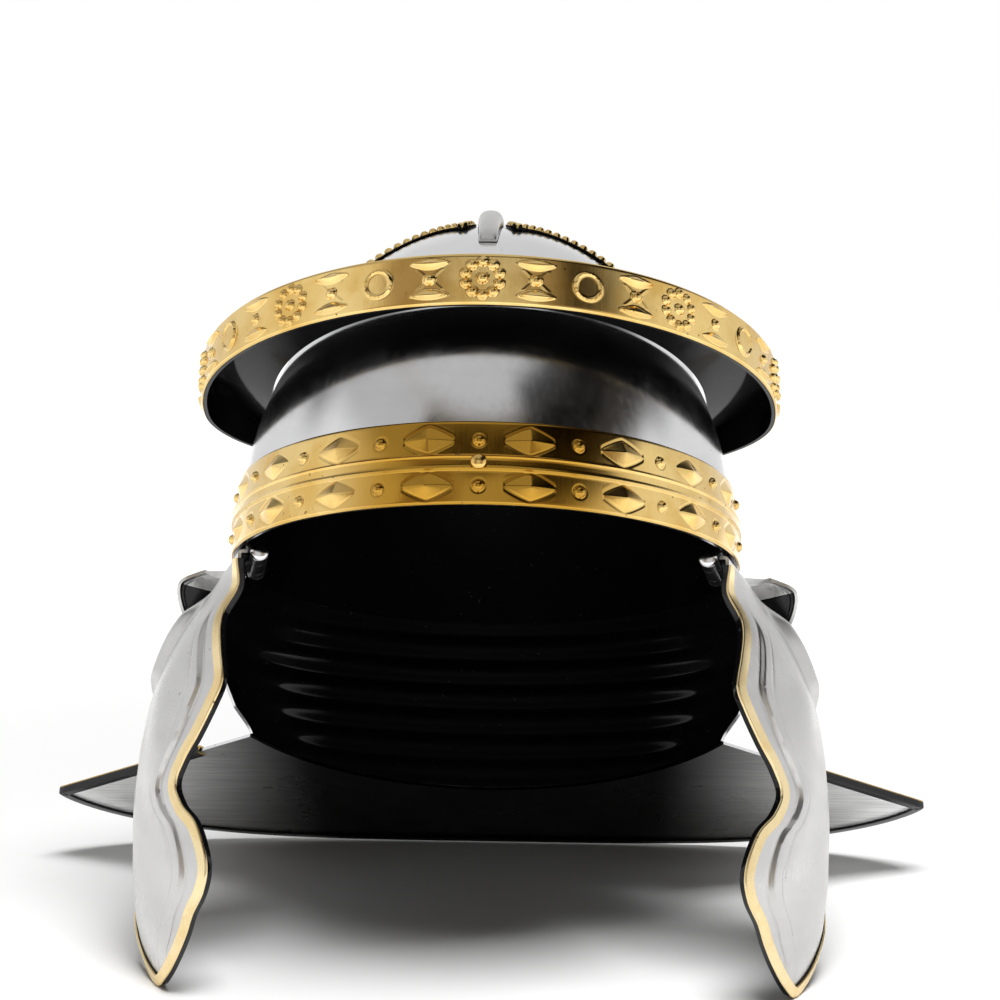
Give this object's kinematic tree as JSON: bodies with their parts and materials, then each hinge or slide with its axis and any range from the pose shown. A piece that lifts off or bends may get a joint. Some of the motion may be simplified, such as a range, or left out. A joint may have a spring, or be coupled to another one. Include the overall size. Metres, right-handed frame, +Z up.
{
  "type": "helmet",
  "caption": "Roman imperial helmet of polished steel with embossed brass bands, a brow guard, a wide neck guard and hinged cheek pieces.",
  "frame": {"origin": "centre of the bounding box in plan, on the floor that the helmet stands on", "axes": "+X to the right of someone who faces the helmet's front, +Y to its back, +Z up"},
  "size_m": [0.4032, 0.261, 0.3024],
  "materials": {
    "polished_steel": "polished",
    "embossed_brass": "polished"
  },
  "bodies": {
    "helmet": {"skull": "polished_steel", "rim_band": "embossed_brass", "rim_rivet": "embossed_brass", "brow_guard": "polished_steel", "brow_band": "embossed_brass", "brow_rivet_left": "polished_steel", "brow_rivet_right": "polished_steel", "crest_rib": "polished_steel", "crescent_left": "embossed_brass", "crescent_right": "embossed_brass", "ear_guard_left": "polished_steel", "ear_guard_right": "polished_steel", "neck_trim": "embossed_brass", "bowl_leaf_left": "polished_steel", "bowl_leaf_right": "polished_steel", "hinge_pin_left": "polished_steel", "hinge_pin_right": "polished_steel", "bowl_leaf_rivet_left_1": "polished_steel", "bowl_leaf_rivet_left_2": "polished_steel", "bowl_leaf_rivet_right_1": "polished_steel", "bowl_leaf_rivet_right_2": "polished_steel"},
    "cheek_piece_left": {"cheek_left": "polished_steel", "cheek_trim_left": "embossed_brass", "cheek_leaf_left": "polished_steel", "cheek_leaf_rivet_left_1": "polished_steel", "cheek_leaf_rivet_left_2": "polished_steel"},
    "cheek_piece_right": {"cheek_right": "polished_steel", "cheek_trim_right": "embossed_brass", "cheek_leaf_right": "polished_steel", "cheek_leaf_rivet_right_1": "polished_steel", "cheek_leaf_rivet_right_2": "polished_steel"}
  },
  "joints": [
    {"name": "cheek_left_hinge", "type": "hinge", "parent": "helmet", "child": "cheek_piece_left", "pos_m": [-0.0923, -0.03948, 0.15802], "axis": [0.165, -0.9307, 0.3264], "range_deg": [0, 36]},
    {"name": "cheek_right_hinge", "type": "hinge", "parent": "helmet", "child": "cheek_piece_right", "pos_m": [0.0923, -0.03948, 0.15802], "axis": [0.165, 0.9307, -0.3264], "range_deg": [0, 36]}
  ]
}
